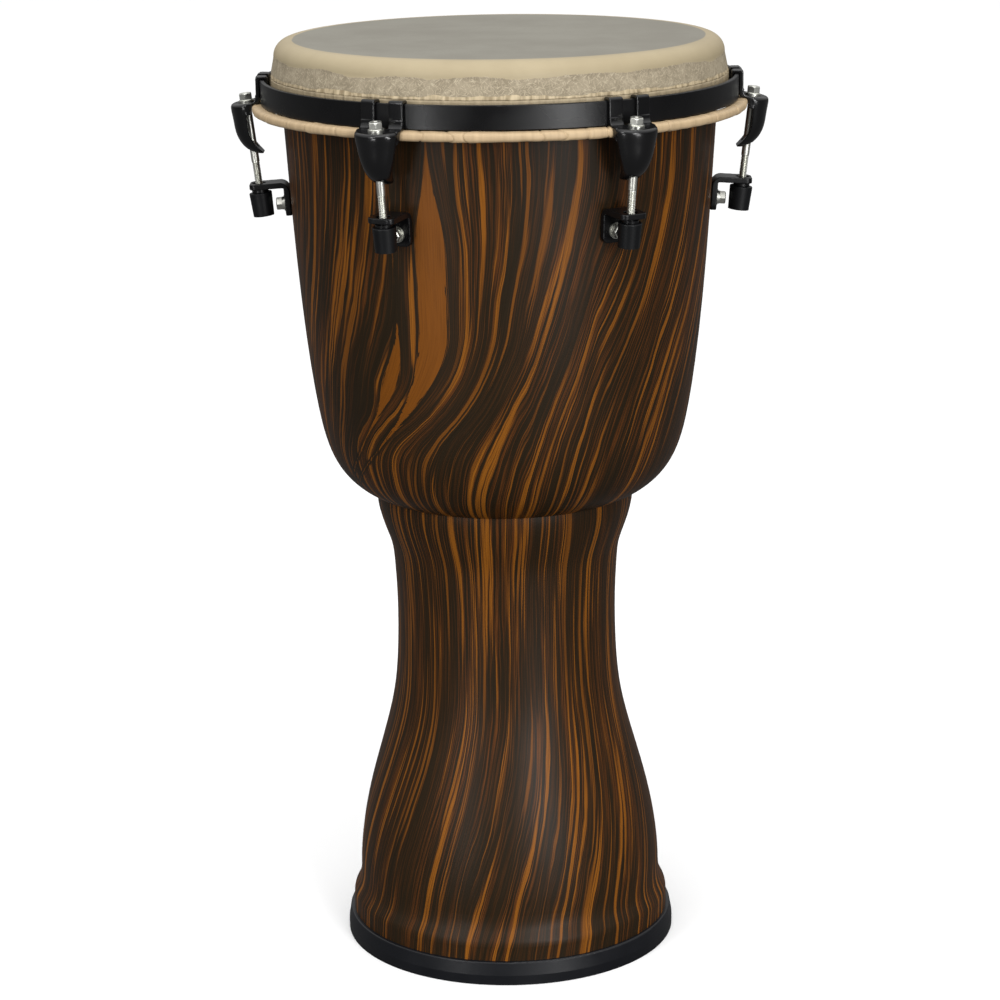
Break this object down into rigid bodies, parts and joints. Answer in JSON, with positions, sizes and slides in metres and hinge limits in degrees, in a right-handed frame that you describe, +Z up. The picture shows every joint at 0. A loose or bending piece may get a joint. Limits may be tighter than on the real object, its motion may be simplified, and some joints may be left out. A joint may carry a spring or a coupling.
{
  "type": "djembe",
  "caption": "Goblet hand drum with a flat synthetic head, a steel tension hoop, hook claws with tuning bolts and brackets on the bowl, and a rubber foot ring.",
  "frame": {"origin": "on the floor under the drum's axis, in the plane of the foot ring's underside", "axes": "+Z up the drum's axis, +X through the first tuner; the six tuners stand every 60 degrees from it, but the fifth stands at 243 degrees"},
  "size_m": [0.3648, 0.3356, 0.6408],
  "materials": {
    "shell": "dark brown and orange streaked wood-grain print under a satin clear coat",
    "rubber": "satin black",
    "drum_skin": "matte cloudy grey-brown centre, cream shoulder, mottled fibre collar",
    "skin_cloth": "cream creased cloth",
    "black_steel": "satin black powder coat",
    "black_casting": "semi-gloss black powder coat",
    "plated_steel": "bright zinc plate",
    "cap_rubber": "matte black"
  },
  "bodies": {
    "root": {"bowl": "shell", "stem": "shell", "foot_ring": "rubber", "head_film": "drum_skin", "head_skirt": "skin_cloth", "bracket_1": "black_steel", "bracket_2": "black_steel", "bracket_3": "black_steel", "bracket_4": "black_steel", "bracket_5": "black_steel", "bracket_6": "black_steel", "lug_nut_1": "black_steel", "lug_nut_2": "black_steel", "lug_nut_3": "black_steel", "lug_nut_4": "black_steel", "lug_nut_5": "black_steel", "lug_nut_6": "black_steel", "nut_cap_1": "cap_rubber", "nut_cap_2": "cap_rubber", "nut_cap_3": "cap_rubber", "nut_cap_4": "cap_rubber", "nut_cap_5": "cap_rubber", "nut_cap_6": "cap_rubber", "bracket_bolts": "plated_steel", "bracket_lock_washers": "plated_steel", "bracket_flat_washers": "plated_steel", "backing_washers": "plated_steel", "backing_nuts": "plated_steel"},
    "hoop": {"tension_hoop": "black_steel", "flesh_hoop": "plated_steel", "hoop_wrap": "skin_cloth", "claw_1": "black_casting", "claw_2": "black_casting", "claw_3": "black_casting", "claw_4": "black_casting", "claw_5": "black_casting", "claw_6": "black_casting"},
    "washer_1": {"bolt_washer_1": "plated_steel"},
    "bolt_1": {"tuning_bolt_1": "plated_steel"},
    "washer_2": {"bolt_washer_2": "plated_steel"},
    "bolt_2": {"tuning_bolt_2": "plated_steel"},
    "washer_3": {"bolt_washer_3": "plated_steel"},
    "bolt_3": {"tuning_bolt_3": "plated_steel"},
    "washer_4": {"bolt_washer_4": "plated_steel"},
    "bolt_4": {"tuning_bolt_4": "plated_steel"},
    "washer_5": {"bolt_washer_5": "plated_steel"},
    "bolt_5": {"tuning_bolt_5": "plated_steel"},
    "washer_6": {"bolt_washer_6": "plated_steel"},
    "bolt_6": {"tuning_bolt_6": "plated_steel"}
  },
  "joints": [
    {"name": "hoop_tune", "type": "slide", "parent": "root", "child": "hoop", "axis": [0, 0, 1], "range_m": [-0.004, 0.006], "deforming": ["head_skirt"]},
    {"name": "bolt_travel_1", "type": "slide", "parent": "root", "child": "washer_1", "axis": [0.1201, 0, 0.9928], "range_m": [-0.0041, 0.0061]},
    {"name": "bolt_turn_1", "type": "hinge", "parent": "washer_1", "child": "bolt_1", "pos_m": [0.1718, 0, 0.5986], "axis": [0.1201, 0, 0.9928], "range_deg": [-1380, 2060]},
    {"name": "bolt_travel_2", "type": "slide", "parent": "root", "child": "washer_2", "axis": [0.0601, 0.104, 0.9928], "range_m": [-0.0041, 0.0061]},
    {"name": "bolt_turn_2", "type": "hinge", "parent": "washer_2", "child": "bolt_2", "pos_m": [0.0859, 0.14878, 0.5986], "axis": [0.0601, 0.104, 0.9928], "range_deg": [-1380, 2060]},
    {"name": "bolt_travel_3", "type": "slide", "parent": "root", "child": "washer_3", "axis": [-0.0601, 0.104, 0.9928], "range_m": [-0.0041, 0.0061]},
    {"name": "bolt_turn_3", "type": "hinge", "parent": "washer_3", "child": "bolt_3", "pos_m": [-0.0859, 0.14878, 0.5986], "axis": [-0.0601, 0.104, 0.9928], "range_deg": [-1380, 2060]},
    {"name": "bolt_travel_4", "type": "slide", "parent": "root", "child": "washer_4", "axis": [-0.1201, 0, 0.9928], "range_m": [-0.0041, 0.0061]},
    {"name": "bolt_turn_4", "type": "hinge", "parent": "washer_4", "child": "bolt_4", "pos_m": [-0.1718, 0, 0.5986], "axis": [-0.1201, 0, 0.9928], "range_deg": [-1380, 2060]},
    {"name": "bolt_travel_5", "type": "slide", "parent": "root", "child": "washer_5", "axis": [-0.0545, -0.107, 0.9928], "range_m": [-0.0041, 0.0061]},
    {"name": "bolt_turn_5", "type": "hinge", "parent": "washer_5", "child": "bolt_5", "pos_m": [-0.078, -0.15307, 0.5986], "axis": [-0.0545, -0.107, 0.9928], "range_deg": [-1380, 2060]},
    {"name": "bolt_travel_6", "type": "slide", "parent": "root", "child": "washer_6", "axis": [0.0601, -0.104, 0.9928], "range_m": [-0.0041, 0.0061]},
    {"name": "bolt_turn_6", "type": "hinge", "parent": "washer_6", "child": "bolt_6", "pos_m": [0.0859, -0.14878, 0.5986], "axis": [0.0601, -0.104, 0.9928], "range_deg": [-1380, 2060]}
  ],
  "couplings": [
    {"joint": "bolt_travel_1", "follows": "hoop_tune", "ratio": 0.99276},
    {"joint": "bolt_turn_1", "follows": "hoop_tune", "rad_per_m": 5894.1},
    {"joint": "bolt_travel_2", "follows": "hoop_tune", "ratio": 0.99276},
    {"joint": "bolt_turn_2", "follows": "hoop_tune", "rad_per_m": 5894.1},
    {"joint": "bolt_travel_3", "follows": "hoop_tune", "ratio": 0.99276},
    {"joint": "bolt_turn_3", "follows": "hoop_tune", "rad_per_m": 5894.1},
    {"joint": "bolt_travel_4", "follows": "hoop_tune", "ratio": 0.99276},
    {"joint": "bolt_turn_4", "follows": "hoop_tune", "rad_per_m": 5894.1},
    {"joint": "bolt_travel_5", "follows": "hoop_tune", "ratio": 0.99276},
    {"joint": "bolt_turn_5", "follows": "hoop_tune", "rad_per_m": 5894.1},
    {"joint": "bolt_travel_6", "follows": "hoop_tune", "ratio": 0.99276},
    {"joint": "bolt_turn_6", "follows": "hoop_tune", "rad_per_m": 5894.1}
  ]
}
